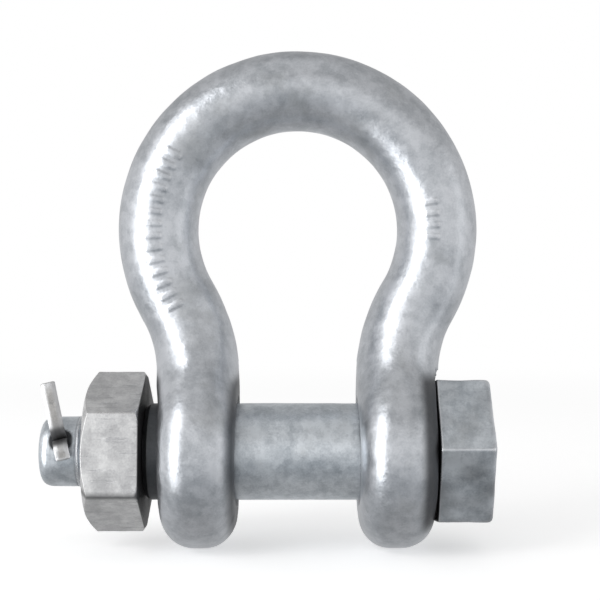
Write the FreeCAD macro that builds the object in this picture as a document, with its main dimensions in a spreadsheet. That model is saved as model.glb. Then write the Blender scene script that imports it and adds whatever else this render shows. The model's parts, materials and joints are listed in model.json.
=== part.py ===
"""Bolt-type bow shackle for 13.5 mm bar: bow, bolt, nut and split cotter pin.

Millimetres. The origin is on the bolt's axis, midway between the ears. +X runs along the bolt
towards its head, +Z runs up to the crown of the bow, and -Y is the side the cotter's legs are on.
"""

import FreeCAD
import Part
import Sketcher
import math
import os

DIMENSIONS = {
    # bow
    "bar_diameter": 13.5,
    "crown_inner_radius": 16.75,
    "crown_height": 37.4,
    "leg_x": 16.8,
    "leg_start": 12.0,
    "leg_height": 13.0,
    "jaw_gap": 20.4,
    "ear_thickness": 12.5,
    "ear_diameter": 32.3,
    "ear_rounding": 5.2,
    "eye_bore": 17.5,
    "eye_chamfer": 0.6,
    "seat_diameter": 27.6,
    # bolt
    "shank_diameter": 16.3,
    "shank_end": 25.5,
    "shank_chamfer": 0.8,
    "thread_diameter": 12.0,
    "bolt_tip": 43.05,
    "tip_chamfer": 1.4,
    "head_inner_face": 22.8,
    "head_thickness": 9.2,
    "head_fillet": 1.0,
    "head_turn": 17.0,
    "hex_flats": 23.4,
    "cotter_hole": 3.2,
    "cotter_station": 39.1,
    "bolt_turn": 25.0,
    # nut
    "nut_thickness": 9.3,
    "nut_seat_gap": 0.05,
    "nut_bore": 12.1,
    "nut_turn": 26.0,
    "nut_outer_circle": 23.2,
    "nut_inner_circle": 25.4,
    "chamfer_slope": 30.0,
    # cotter pin
    "wire_diameter": 2.5,
    "leg_gap": 0.08,
    "eye_inner_radius": 1.3,
    "eye_neck_radius": 1.9,
    "eye_neck_start": 6.4,
    "bend_start": 6.1,
    "bend_radius": 2.0,
    "long_leg_bend": 84.0,
    "long_leg_length": 7.4,
    "short_leg_bend": 112.0,
    "short_leg_length": 1.2,
    "cotter_roll": 15.0,
}

# the neck between limb and ear: the height of each section, and its half-widths along Y and X
NECK_SECTIONS = [
    ("low", 6.0, 13.6, 5.9),
    ("middle", 12.5, 10.3, 6.85),
    ("upper", 18.5, 7.9, 6.8),
    ("top", 25.5, 6.7, 6.45),
]

# rows of the sheet that follow from the others: the ears' middle, and the bow's two radii
DERIVED = {
    "ear_x": "=(jaw_gap + ear_thickness) / 2",
    "crown_radius": "=crown_inner_radius + bar_diameter / 2",
    "limb_rise": "=crown_height - leg_height",
    "limb_bend": "=(leg_x^2 + limb_rise^2 - crown_radius^2) / (2 * (crown_radius - leg_x))",
}

UP = FreeCAD.Vector(0, 0, 1)
TOWARDS_NUT = FreeCAD.Vector(-1, 0, 0)

doc = FreeCAD.newDocument("bow_shackle")
sheet = doc.addObject("Spreadsheet::Sheet", "Dimensions")


def fill_sheet():
    """Write every dimension to the sheet, one row each, with its name as the alias."""
    neck = {}
    for name, height, half_width, half_depth in NECK_SECTIONS:
        neck[f"neck_{name}_height"] = height
        neck[f"neck_{name}_half_width"] = half_width
        neck[f"neck_{name}_half_depth"] = half_depth
    for row, (alias, value) in enumerate({**DIMENSIONS, **neck, **DERIVED}.items(), start=1):
        sheet.set(f"A{row}", alias)
        sheet.set(f"B{row}", str(value))
        sheet.setAlias(f"B{row}", alias)
    doc.recompute()


def size(alias):
    """The value a dimension has in the sheet."""
    return float(sheet.get(alias))


def point(x, y):
    return FreeCAD.Vector(x, y, 0)


def polar(centre, radius, degrees):
    angle = math.radians(degrees)
    return point(centre.x + radius * math.cos(angle), centre.y + radius * math.sin(angle))


def add_body(label):
    body = doc.addObject("PartDesign::Body", label)
    body.Label = label
    return body


def origin_plane(body, role):
    return next(plane for plane in body.Origin.OriginFeatures if plane.Role == role)


def add_sketch(body, name, role):
    """A sketch of this body's, attached to one of its own origin planes."""
    sketch = body.newObject("Sketcher::SketchObject", name)
    sketch.AttachmentSupport = [(origin_plane(body, role), "")]
    sketch.MapMode = "FlatFace"
    return sketch


def bind(sketch, name, expression, *constraint):
    """Add a dimension to a sketch and bind it to the sheet."""
    index = sketch.addConstraint(Sketcher.Constraint(*constraint))
    sketch.renameConstraint(index, name)
    sketch.setExpression(f"Constraints.{name}", expression)


def fix(sketch, *constraint):
    sketch.addConstraint(Sketcher.Constraint(*constraint))


def add_arc(sketch, centre, radius, start, end):
    """An arc that runs counter-clockwise between two angles in degrees."""
    circle = Part.Circle(centre, UP, radius)
    return sketch.addGeometry(Part.ArcOfCircle(circle, math.radians(start), math.radians(end)))


def add_outline(sketch, points):
    """A closed outline of straight lines through these points."""
    lines = []
    for start, end in zip(points, points[1:] + points[:1]):
        lines.append(sketch.addGeometry(Part.LineSegment(start, end)))
    for line, following in zip(lines, lines[1:] + lines[:1]):
        fix(sketch, "Coincident", line, 2, following, 1)
    return lines


def revolve(body, kind, name, sketch):
    """A Revolution or Groove of a sketch, a full turn about the X axis."""
    feature = body.newObject(f"PartDesign::{kind}", name)
    feature.Profile = sketch
    feature.ReferenceAxis = (sketch, ["H_Axis"])
    feature.Angle = 360
    sketch.Visibility = False
    return feature


def cut_through(body, name, sketch, depth):
    """A pocket through the body both ways from the sketch's plane, which has to take something."""
    doc.recompute()
    before = body.Shape.Volume
    pocket = body.newObject("PartDesign::Pocket", name)
    pocket.Profile = sketch
    pocket.Midplane = True
    pocket.setExpression("Length", depth)
    sketch.Visibility = False
    doc.recompute()
    if body.Shape.Volume > before - 1:
        raise RuntimeError(f"{name} took nothing from {body.Label}")
    return pocket


def mirror(body, name, feature):
    """The same feature on the other side of the YZ plane."""
    mirrored = body.newObject("PartDesign::Mirrored", name)
    mirrored.Originals = [feature]
    mirrored.MirrorPlane = (origin_plane(body, "YZ_Plane"), [""])
    body.Tip = mirrored
    return mirrored


def draw_circle(sketch, x, diameter, station, expression):
    """A circle on the sketch's X axis, its centre at x."""
    circle = sketch.addGeometry(Part.Circle(point(x, 0), UP, diameter / 2))
    bind(sketch, "Diameter", expression, "Diameter", circle, diameter)
    if station is None:
        fix(sketch, "Coincident", circle, 3, -1, 1)
    else:
        fix(sketch, "PointOnObject", circle, 3, -1)
        bind(sketch, "Station", station, "DistanceX", circle, 3, -1, 1, -x)


def draw_hexagon(sketch, turn):
    """A hexagon about the origin, with a corner this many degrees round from the first axis."""
    radius = size("hex_flats") / math.sqrt(3)
    centre = point(0, 0)
    corners = [polar(centre, radius, size(turn) + 60 * k) for k in range(6)]
    lines = add_outline(sketch, corners)
    circle = sketch.addGeometry(Part.Circle(centre, UP, radius), True)
    fix(sketch, "Coincident", circle, 3, -1, 1)
    for line in lines:
        fix(sketch, "PointOnObject", line, 1, circle)
    for line in lines[1:]:
        fix(sketch, "Equal", lines[0], line)
    spoke = sketch.addGeometry(Part.LineSegment(centre, corners[0]), True)
    fix(sketch, "Coincident", spoke, 1, -1, 1)
    fix(sketch, "Coincident", spoke, 2, lines[0], 1)
    bind(sketch, "Corners", "Dimensions.hex_flats / cos(30)", "Diameter", circle, 2 * radius)
    bind(sketch, "Turn", f"Dimensions.{turn}", "Angle", -1, 1, spoke, 1, math.radians(size(turn)))


def draw_bow_path(sketch):
    """The bow's centreline: straight legs, reverse bends, and the crown's arc over the top."""
    leg_x = size("leg_x")
    leg_start = size("leg_start")
    leg_height = size("leg_height")
    crown = size("crown_radius")
    bend = size("limb_bend")
    tangent = math.degrees(math.atan2(size("limb_rise"), leg_x + bend))
    crown_centre = point(0, size("crown_height"))

    left_ends = point(-leg_x, leg_start), point(-leg_x, leg_height)
    left_leg = sketch.addGeometry(Part.LineSegment(*left_ends))
    left_bend = add_arc(sketch, point(-leg_x - bend, leg_height), bend, 0, tangent)
    top = add_arc(sketch, crown_centre, crown, -tangent, 180 + tangent)
    right_bend = add_arc(sketch, point(leg_x + bend, leg_height), bend, 180 - tangent, 180)
    right_ends = point(leg_x, leg_height), point(leg_x, leg_start)
    right_leg = sketch.addGeometry(Part.LineSegment(*right_ends))

    fix(sketch, "Tangent", left_leg, 2, left_bend, 1)
    fix(sketch, "Tangent", left_bend, 2, top, 2)
    fix(sketch, "Tangent", top, 1, right_bend, 1)
    fix(sketch, "Tangent", right_bend, 2, right_leg, 1)
    fix(sketch, "Vertical", left_leg)
    fix(sketch, "Vertical", right_leg)
    fix(sketch, "Equal", left_leg, right_leg)
    fix(sketch, "PointOnObject", top, 3, -2)
    fix(sketch, "Symmetric", left_leg, 1, right_leg, 2, -2)
    spread = "2 * Dimensions.leg_x"
    bind(sketch, "Spread", spread, "DistanceX", left_leg, 1, right_leg, 2, 2 * leg_x)
    start = "Dimensions.leg_start"
    bind(sketch, "Start", start, "DistanceY", -1, 1, left_leg, 1, leg_start)
    leg = "Dimensions.leg_height"
    bind(sketch, "Leg", leg, "DistanceY", -1, 1, left_leg, 2, leg_height)
    bind(sketch, "Crown", "Dimensions.crown_radius", "Radius", top, crown)
    height = "Dimensions.crown_height"
    bind(sketch, "Height", height, "DistanceY", -1, 1, top, 3, size("crown_height"))


def draw_ear(sketch):
    """Half the ear's section: flat faces, and a rim rounded from both sides."""
    inner = -size("jaw_gap") / 2
    outer = inner - size("ear_thickness")
    top = size("ear_diameter") / 2
    rounding = size("ear_rounding")
    shoulder = top - rounding

    axis = sketch.addGeometry(Part.LineSegment(point(outer, 0), point(inner, 0)))
    inner_face = sketch.addGeometry(Part.LineSegment(point(inner, 0), point(inner, shoulder)))
    inner_round = add_arc(sketch, point(inner - rounding, shoulder), rounding, 0, 90)
    rim_ends = point(inner - rounding, top), point(outer + rounding, top)
    rim = sketch.addGeometry(Part.LineSegment(*rim_ends))
    outer_round = add_arc(sketch, point(outer + rounding, shoulder), rounding, 90, 180)
    outer_face = sketch.addGeometry(Part.LineSegment(point(outer, shoulder), point(outer, 0)))

    fix(sketch, "Coincident", axis, 2, inner_face, 1)
    fix(sketch, "Coincident", outer_face, 2, axis, 1)
    fix(sketch, "Tangent", inner_face, 2, inner_round, 1)
    fix(sketch, "Tangent", inner_round, 2, rim, 1)
    fix(sketch, "Tangent", rim, 2, outer_round, 1)
    fix(sketch, "Tangent", outer_round, 2, outer_face, 1)
    fix(sketch, "PointOnObject", axis, 1, -1)
    fix(sketch, "PointOnObject", axis, 2, -1)
    fix(sketch, "Vertical", inner_face)
    fix(sketch, "Vertical", outer_face)
    fix(sketch, "Equal", inner_round, outer_round)
    bind(sketch, "Jaw", "Dimensions.jaw_gap / 2", "DistanceX", axis, 2, -1, 1, -inner)
    thickness = "Dimensions.ear_thickness"
    bind(sketch, "Thickness", thickness, "DistanceX", axis, 1, axis, 2, inner - outer)
    radius = "Dimensions.ear_diameter / 2"
    bind(sketch, "Top", radius, "DistanceY", axis, 1, rim, 1, top)
    bind(sketch, "Rounding", "Dimensions.ear_rounding", "Radius", inner_round, rounding)


def neck_section(body, name, half_width, half_depth):
    """An ellipse wide along Y: the lowest in the middle of the ear, the rest on the limb."""
    above = f"max(0; Dimensions.neck_{name}_height - Dimensions.leg_height)"
    sideways = f"sqrt(Dimensions.limb_bend^2 - {above}^2) - Dimensions.limb_bend"
    centre = "-Dimensions.ear_x" if name == "low" else f"{sideways} - Dimensions.leg_x"

    sketch = add_sketch(body, f"Neck{name.title()}", "XY_Plane")
    sketch.setExpression("AttachmentOffset.Base.x", centre)
    sketch.setExpression("AttachmentOffset.Base.z", f"Dimensions.neck_{name}_height")
    ellipse = sketch.addGeometry(
        Part.Ellipse(point(0, half_width), point(half_depth, 0), point(0, 0))
    )
    sketch.exposeInternalGeometry(ellipse)
    fix(sketch, "Coincident", ellipse, 3, -1, 1)
    fix(sketch, "Vertical", ellipse + 1)
    half_widths = f"2 * Dimensions.neck_{name}_half_width"
    bind(sketch, "Width", half_widths, "Distance", ellipse + 1, 2 * half_width)
    depth = f"2 * Dimensions.neck_{name}_half_depth"
    bind(sketch, "Depth", depth, "Distance", ellipse + 2, 2 * half_depth)
    sketch.Visibility = False
    return sketch


def draw_eye_chamfer(sketch):
    """The triangle that breaks the edge of an ear's bore at its jaw face."""
    face = -size("jaw_gap") / 2
    bore = size("eye_bore") / 2
    leg = size("eye_chamfer")
    corners = [point(face, bore), point(face, bore + leg), point(face - leg, bore)]
    radial, slope, axial = add_outline(sketch, corners)
    fix(sketch, "Vertical", radial)
    fix(sketch, "Horizontal", axial)
    fix(sketch, "Equal", radial, axial)
    bind(sketch, "Face", "Dimensions.jaw_gap / 2", "DistanceX", radial, 1, -1, 1, -face)
    bind(sketch, "Bore", "Dimensions.eye_bore / 2", "DistanceY", -1, 1, radial, 1, bore)
    bind(sketch, "Leg", "Dimensions.eye_chamfer", "DistanceY", radial, 1, radial, 2, leg)


def draw_head_seat(sketch):
    """Half the flat seat that is cleared for the bolt's head, outside the right ear."""
    face = size("jaw_gap") / 2 + size("ear_thickness")
    depth = size("ear_thickness") / 4
    radius = size("seat_diameter") / 2
    corners = [
        point(face, 0),
        point(face + depth, 0),
        point(face + depth, radius),
        point(face, radius),
    ]
    axis, end, rim, seat = add_outline(sketch, corners)
    fix(sketch, "PointOnObject", axis, 1, -1)
    fix(sketch, "PointOnObject", axis, 2, -1)
    fix(sketch, "Vertical", end)
    fix(sketch, "Horizontal", rim)
    fix(sketch, "Vertical", seat)
    outer = "Dimensions.jaw_gap / 2 + Dimensions.ear_thickness"
    bind(sketch, "Face", outer, "DistanceX", -1, 1, axis, 1, face)
    bind(sketch, "Depth", "Dimensions.ear_thickness / 4", "DistanceX", axis, 1, axis, 2, depth)
    bind(sketch, "Seat", "Dimensions.seat_diameter / 2", "DistanceY", end, 1, end, 2, radius)


def make_bow():
    """The forged bow: a round bar bent to a ring, with an eye in each of its two ears."""
    body = add_body("bow")

    path = add_sketch(body, "BowPath", "XZ_Plane")
    draw_bow_path(path)
    path.Visibility = False
    section = add_sketch(body, "BarSection", "XY_Plane")
    section.setExpression("AttachmentOffset.Base.z", "Dimensions.leg_start")
    station = "Dimensions.leg_x"
    diameter = "Dimensions.bar_diameter"
    draw_circle(section, -size("leg_x"), size("bar_diameter"), station, diameter)
    doc.recompute()
    bar = body.newObject("PartDesign::AdditivePipe", "Bar")
    bar.Profile = section
    bar.Spine = (path, [""])
    section.Visibility = False
    doc.recompute()

    ear_sketch = add_sketch(body, "EarSection", "XZ_Plane")
    draw_ear(ear_sketch)
    ear = revolve(body, "Revolution", "LeftEar", ear_sketch)
    doc.recompute()
    mirror(body, "RightEar", ear)
    doc.recompute()

    sections = [neck_section(body, name, width, depth) for name, _, width, depth in NECK_SECTIONS]
    doc.recompute()
    neck = body.newObject("PartDesign::AdditiveLoft", "LeftNeck")
    neck.Profile = sections[0]
    neck.Sections = sections[1:]
    doc.recompute()
    mirror(body, "RightNeck", neck)
    doc.recompute()

    before = body.Shape.Volume
    seat = add_sketch(body, "HeadSeatSection", "XZ_Plane")
    draw_head_seat(seat)
    revolve(body, "Groove", "HeadSeat", seat)
    doc.recompute()
    if body.Shape.Volume > before - 1:
        raise RuntimeError("the head's seat took nothing from the bow")

    bore = add_sketch(body, "EyeBore", "YZ_Plane")
    draw_circle(bore, 0, size("eye_bore"), None, "Dimensions.eye_bore")
    cut_through(body, "Eyes", bore, "2 * Dimensions.jaw_gap + 4 * Dimensions.ear_thickness")

    chamfer_sketch = add_sketch(body, "EyeChamferSection", "XZ_Plane")
    draw_eye_chamfer(chamfer_sketch)
    chamfer = revolve(body, "Groove", "LeftEyeChamfer", chamfer_sketch)
    doc.recompute()
    mirror(body, "RightEyeChamfer", chamfer)
    return body


def draw_bolt(sketch):
    """Half the section of the bolt's shank, its shoulder and its threaded end."""
    shank = size("shank_diameter") / 2
    thread = size("thread_diameter") / 2
    head = size("head_inner_face")
    shoulder = -size("shank_end")
    tip = -size("bolt_tip")
    shank_chamfer = size("shank_chamfer")
    tip_chamfer = size("tip_chamfer")
    corners = [
        point(head, 0),
        point(head, shank),
        point(shoulder + shank_chamfer, shank),
        point(shoulder, shank - shank_chamfer),
        point(shoulder, thread),
        point(tip + tip_chamfer, thread),
        point(tip, thread - tip_chamfer),
        point(tip, 0),
    ]
    under_head, top, bevel, step, thread_top, tip_bevel, end, axis = add_outline(sketch, corners)
    for line in (under_head, step, end):
        fix(sketch, "Vertical", line)
    for line in (top, thread_top):
        fix(sketch, "Horizontal", line)
    fix(sketch, "PointOnObject", axis, 1, -1)
    fix(sketch, "PointOnObject", axis, 2, -1)
    bind(sketch, "Head", "Dimensions.head_inner_face", "DistanceX", -1, 1, under_head, 1, head)
    half_shank = "Dimensions.shank_diameter / 2"
    bind(sketch, "Shank", half_shank, "DistanceY", axis, 2, top, 1, shank)
    bind(sketch, "Shoulder", "Dimensions.shank_end", "DistanceX", step, 1, -1, 1, -shoulder)
    shank_bevel = "Dimensions.shank_chamfer"
    bind(sketch, "BevelLength", shank_bevel, "DistanceX", bevel, 2, bevel, 1, shank_chamfer)
    bind(sketch, "BevelDepth", shank_bevel, "DistanceY", bevel, 2, bevel, 1, shank_chamfer)
    half_thread = "Dimensions.thread_diameter / 2"
    bind(sketch, "Thread", half_thread, "DistanceY", axis, 1, thread_top, 1, thread)
    bind(sketch, "Tip", "Dimensions.bolt_tip", "DistanceX", end, 1, -1, 1, -tip)
    end_bevel = "Dimensions.tip_chamfer"
    bind(sketch, "TipLength", end_bevel, "DistanceX", tip_bevel, 2, tip_bevel, 1, tip_chamfer)
    bind(sketch, "TipDepth", end_bevel, "DistanceY", tip_bevel, 2, tip_bevel, 1, tip_chamfer)


def edges_at(shape, x):
    """The names of a shape's straight edges that lie wholly in the plane at x."""
    names = []
    for number, edge in enumerate(shape.Edges, start=1):
        flat = all(abs(vertex.X - x) < 0.001 for vertex in edge.Vertexes)
        if flat and isinstance(edge.Curve, Part.Line):
            names.append(f"Edge{number}")
    return names


def make_bolt():
    """The hexagon-headed bolt. Its cotter hole runs along Y before the body is turned about -X."""
    body = add_body("bolt")
    profile = add_sketch(body, "BoltSection", "XZ_Plane")
    draw_bolt(profile)
    revolve(body, "Revolution", "Shank", profile)
    doc.recompute()

    hexagon = add_sketch(body, "HeadHexagon", "YZ_Plane")
    hexagon.setExpression("AttachmentOffset.Base.z", "Dimensions.head_inner_face")
    draw_hexagon(hexagon, "head_turn")
    doc.recompute()
    head = body.newObject("PartDesign::Pad", "Head")
    head.Profile = hexagon
    head.setExpression("Length", "Dimensions.head_thickness")
    hexagon.Visibility = False
    doc.recompute()
    rounding = body.newObject("PartDesign::Fillet", "HeadRounding")
    outer_face = size("head_inner_face") + size("head_thickness")
    rounding.Base = (head, edges_at(head.Shape, outer_face))
    rounding.setExpression("Radius", "Dimensions.head_fillet")
    doc.recompute()

    hole = add_sketch(body, "CotterHoleSection", "XZ_Plane")
    station = "Dimensions.cotter_station"
    draw_circle(hole, -size("cotter_station"), size("cotter_hole"), station, "Dimensions.cotter_hole")
    cut_through(body, "CotterHole", hole, "2 * Dimensions.thread_diameter")

    turn = FreeCAD.Rotation(TOWARDS_NUT, size("bolt_turn"))
    body.Placement = FreeCAD.Placement(FreeCAD.Vector(0, 0, 0), turn)
    body.setExpression("Placement.Rotation.Angle", "Dimensions.bolt_turn * 1 deg")
    return body


def draw_nut_chamfer(sketch, face, circle, way):
    """The triangle outside the chamfer cone at one end of the nut; way points into the nut."""
    rim = size("hex_flats") / math.sqrt(3) + 1
    start = size(circle) / 2
    depth = (rim - start) * math.tan(math.radians(size("chamfer_slope")))
    corners = [point(face, start), point(face, rim), point(face + way * depth, rim)]
    end, top, cone = add_outline(sketch, corners)
    fix(sketch, "Vertical", end)
    fix(sketch, "Horizontal", top)
    bind(sketch, "Circle", f"Dimensions.{circle} / 2", "DistanceY", -1, 1, end, 1, start)
    reach = "Dimensions.hex_flats / sqrt(3) + 1"
    bind(sketch, "Rim", reach, "DistanceY", -1, 1, end, 2, rim)
    fall = f"(Dimensions.hex_flats / sqrt(3) + 1 - Dimensions.{circle} / 2)"
    slope = f"{fall} * tan(Dimensions.chamfer_slope)"
    if way > 0:
        fix(sketch, "PointOnObject", end, 1, -2)
        bind(sketch, "Depth", slope, "DistanceX", top, 1, top, 2, depth)
    else:
        bind(sketch, "Face", "Dimensions.nut_thickness", "DistanceX", -1, 1, end, 1, face)
        bind(sketch, "Depth", slope, "DistanceX", top, 2, top, 1, depth)


def make_nut():
    """The hexagon nut, chamfered at both ends, drawn from its outer face at X = 0."""
    body = add_body("nut")
    hexagon = add_sketch(body, "NutHexagon", "YZ_Plane")
    draw_hexagon(hexagon, "nut_turn")
    doc.recompute()
    blank = body.newObject("PartDesign::Pad", "Blank")
    blank.Profile = hexagon
    blank.setExpression("Length", "Dimensions.nut_thickness")
    hexagon.Visibility = False
    doc.recompute()

    bore = add_sketch(body, "NutBoreSection", "YZ_Plane")
    draw_circle(bore, 0, size("nut_bore"), None, "Dimensions.nut_bore")
    cut_through(body, "NutBore", bore, "4 * Dimensions.nut_thickness")

    ends = [("Outer", 0, "nut_outer_circle", 1)]
    ends.append(("Inner", size("nut_thickness"), "nut_inner_circle", -1))
    for name, face, circle, way in ends:
        before = body.Shape.Volume
        section = add_sketch(body, f"{name}ChamferSection", "XZ_Plane")
        draw_nut_chamfer(section, face, circle, way)
        revolve(body, "Groove", f"{name}Chamfer", section)
        doc.recompute()
        if body.Shape.Volume > before - 0.1:
            raise RuntimeError(f"{name} chamfer took nothing from the nut")

    body.Placement = FreeCAD.Placement(
        FreeCAD.Vector(-size("shank_end"), 0, 0), FreeCAD.Rotation()
    )
    seat = "-Dimensions.shank_end - Dimensions.nut_seat_gap - Dimensions.nut_thickness"
    body.setExpression("Placement.Base.x", seat)
    return body


def draw_cotter_path(sketch, side, bend_angle, leg_length):
    """Half the cotter's wire, along its flat side: from the eye's far end to the tip of one leg.

    X runs through the bolt's hole towards the legs. side is 1 for the leg above, -1 for below.
    """
    gap = size("leg_gap") / 2
    eye = size("eye_inner_radius")
    neck = size("eye_neck_radius")
    neck_x = -size("eye_neck_start")
    bend_x = size("bend_start")
    bend = size("bend_radius")
    turn = size(bend_angle)
    length = size(leg_length)
    eye_x = neck_x - math.sqrt((eye + neck) ** 2 - (neck + gap) ** 2)
    meet = math.degrees(math.atan2(neck + gap, neck_x - eye_x))

    def at(x, y):
        return point(x, side * y)

    def arc(centre, radius, start, end):
        if side > 0:
            return add_arc(sketch, centre, radius, start, end)
        return add_arc(sketch, centre, radius, -end, -start)

    eye_arc = arc(at(eye_x, 0), eye, meet, 180)
    neck_arc = arc(at(neck_x, gap + neck), neck, 180 + meet, 270)
    shaft = sketch.addGeometry(Part.LineSegment(at(neck_x, gap), at(bend_x, gap)))
    bend_centre = at(bend_x, gap + bend)
    bend_arc = arc(bend_centre, bend, 270, 270 + turn)
    bend_end = polar(bend_centre, bend, side * (turn - 90))
    direction = math.radians(side * turn)
    run = point(length * math.cos(direction), length * math.sin(direction))
    leg = sketch.addGeometry(Part.LineSegment(bend_end, bend_end + run))

    first, last = (1, 2) if side > 0 else (2, 1)
    fix(sketch, "Tangent", eye_arc, first, neck_arc, first)
    fix(sketch, "Tangent", neck_arc, last, shaft, 1)
    fix(sketch, "Tangent", shaft, 2, bend_arc, first)
    fix(sketch, "Tangent", bend_arc, last, leg, 1)
    fix(sketch, "Horizontal", shaft)
    fix(sketch, "PointOnObject", eye_arc, 3, -1)
    fix(sketch, "PointOnObject", eye_arc, last, -1)
    bind(sketch, "Eye", "Dimensions.eye_inner_radius", "Radius", eye_arc, eye)
    bind(sketch, "Neck", "Dimensions.eye_neck_radius", "Radius", neck_arc, neck)
    bind(sketch, "Bend", "Dimensions.bend_radius", "Radius", bend_arc, bend)
    start = "Dimensions.eye_neck_start"
    bind(sketch, "NeckStart", start, "DistanceX", shaft, 1, -1, 1, -neck_x)
    bind(sketch, "BendStart", "Dimensions.bend_start", "DistanceX", -1, 1, shaft, 2, bend_x)
    bind(sketch, "LegLength", f"Dimensions.{leg_length}", "Distance", leg, length)
    if side > 0:
        bind(sketch, "Gap", "Dimensions.leg_gap / 2", "DistanceY", -1, 1, shaft, 1, gap)
        bind(sketch, "Turn", f"Dimensions.{bend_angle}", "Angle", -1, 1, leg, 1, math.radians(turn))
    else:
        bind(sketch, "Gap", "Dimensions.leg_gap / 2", "DistanceY", shaft, 1, -1, 1, gap)
        bind(sketch, "Turn", f"Dimensions.{bend_angle}", "Angle", leg, 1, -1, 1, math.radians(turn))
    sketch.Visibility = False
    return eye_x - eye


def make_cotter_pin():
    """The split pin: half-round wire folded at an eye, with its two legs bent apart."""
    body = add_body("cotter_pin")
    legs = [
        ("LongLeg", 1, "long_leg_bend", "long_leg_length"),
        ("ShortLeg", -1, "short_leg_bend", "short_leg_length"),
    ]
    for name, side, bend_angle, leg_length in legs:
        path = add_sketch(body, f"{name}Path", "XZ_Plane")
        far_end = draw_cotter_path(path, side, bend_angle, leg_length)
        section = add_sketch(body, f"{name}Section", "XY_Plane")
        draw_half_round(section, far_end)
        doc.recompute()
        pipe = body.newObject("PartDesign::AdditivePipe", name)
        pipe.Profile = section
        pipe.Spine = (path, [""])
        section.Visibility = False
        doc.recompute()

    station = "vector(-Dimensions.cotter_station; 0; 0)"
    turn = "rotation(vector(-1; 0; 0); Dimensions.bolt_turn)"
    to_front = "rotation(vector(0; 0; 1); -90)"
    roll = "rotation(vector(1; 0; 0); Dimensions.cotter_roll)"
    body.setExpression("Placement", f"placement({station}; {turn} * {to_front} * {roll})")
    return body


def draw_half_round(sketch, flat_x):
    """The wire's section at the eye's far end: a half circle with its flat side at flat_x."""
    radius = (size("wire_diameter") - size("leg_gap")) / 2
    centre = point(flat_x, 0)
    back = add_arc(sketch, centre, radius, 90, 270)
    flat = sketch.addGeometry(Part.LineSegment(polar(centre, radius, 270), polar(centre, radius, 90)))
    fix(sketch, "Coincident", back, 2, flat, 1)
    fix(sketch, "Coincident", flat, 2, back, 1)
    fix(sketch, "PointOnObject", back, 3, -1)
    fix(sketch, "PointOnObject", back, 3, flat)
    fix(sketch, "Vertical", flat)
    wire = "(Dimensions.wire_diameter - Dimensions.leg_gap) / 2"
    bind(sketch, "Radius", wire, "Radius", back, radius)
    neck = "Dimensions.eye_neck_radius"
    both = f"(Dimensions.eye_inner_radius + {neck})"
    rise = f"({neck} + Dimensions.leg_gap / 2)"
    reach = f"Dimensions.eye_neck_start + sqrt({both}^2 - {rise}^2) + Dimensions.eye_inner_radius"
    bind(sketch, "FarEnd", reach, "DistanceX", back, 3, -1, 1, -flat_x)


def check(bodies):
    """Stop if any object failed or any sub-part isn't one valid solid."""
    for item in doc.Objects:
        if "Invalid" in item.State or "Error" in item.State:
            raise RuntimeError(f"{item.Name} is {item.State}")
    for body in bodies:
        shape = body.Shape
        if shape.isNull() or not shape.isValid() or len(shape.Solids) != 1:
            raise RuntimeError(f"{body.Label} isn't one valid solid")


def main():
    fill_sheet()
    bodies = [make_bow(), make_bolt(), make_nut(), make_cotter_pin()]
    doc.recompute()
    check(bodies)
    os.makedirs("parts", exist_ok=True)
    for body in bodies:
        body.Shape.exportStep(f"parts/{body.Label}.step")
        box = body.Shape.BoundBox
        print(f"{body.Label}: {body.Shape.Volume:.1f} mm3, X {box.XMin:.2f} to {box.XMax:.2f}, "
              f"Y {box.YMin:.2f} to {box.YMax:.2f}, Z {box.ZMin:.2f} to {box.ZMax:.2f}")


main()
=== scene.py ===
"""Visual model of a bolt-type bow shackle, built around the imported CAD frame.

Meshes are worked out in millimetres in the frame's axes and turned to metres when they are made:
+X runs along the bolt towards its head, +Z up to the crown, and -Y is the side the camera is on.
"""

import json
import math

import bmesh
import bpy
import numpy as np
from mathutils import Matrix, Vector


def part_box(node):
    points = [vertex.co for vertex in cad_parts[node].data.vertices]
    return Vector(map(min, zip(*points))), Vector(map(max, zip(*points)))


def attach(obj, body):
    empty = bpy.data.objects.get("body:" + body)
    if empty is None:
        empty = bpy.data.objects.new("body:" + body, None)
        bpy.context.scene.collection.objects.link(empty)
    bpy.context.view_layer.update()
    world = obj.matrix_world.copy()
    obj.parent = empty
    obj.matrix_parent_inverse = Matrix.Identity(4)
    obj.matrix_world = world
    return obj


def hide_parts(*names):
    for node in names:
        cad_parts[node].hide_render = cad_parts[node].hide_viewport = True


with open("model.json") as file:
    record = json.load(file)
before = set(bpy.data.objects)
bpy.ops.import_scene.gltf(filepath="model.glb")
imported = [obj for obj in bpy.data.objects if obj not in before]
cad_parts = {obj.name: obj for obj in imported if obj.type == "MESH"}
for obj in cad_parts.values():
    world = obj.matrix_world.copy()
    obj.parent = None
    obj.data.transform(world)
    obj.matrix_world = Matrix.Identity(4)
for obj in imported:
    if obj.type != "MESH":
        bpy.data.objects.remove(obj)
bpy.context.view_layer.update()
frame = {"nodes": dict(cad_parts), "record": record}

MM = 0.001
TAU = 2 * math.pi


def box_mm(node):
    """Lowest and highest corner of a CAD node, in millimetres."""
    low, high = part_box(node)
    return np.array(low) / MM, np.array(high) / MM


bow_low, bow_high = box_mm("bow")
bolt_low, bolt_high = box_mm("bolt")
nut_low, nut_high = box_mm("nut")
SHANK_R = next(m for m in frame["record"]["mounts"] if m["name"] == "load_pin")["dims"]["r_mm"]

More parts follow.
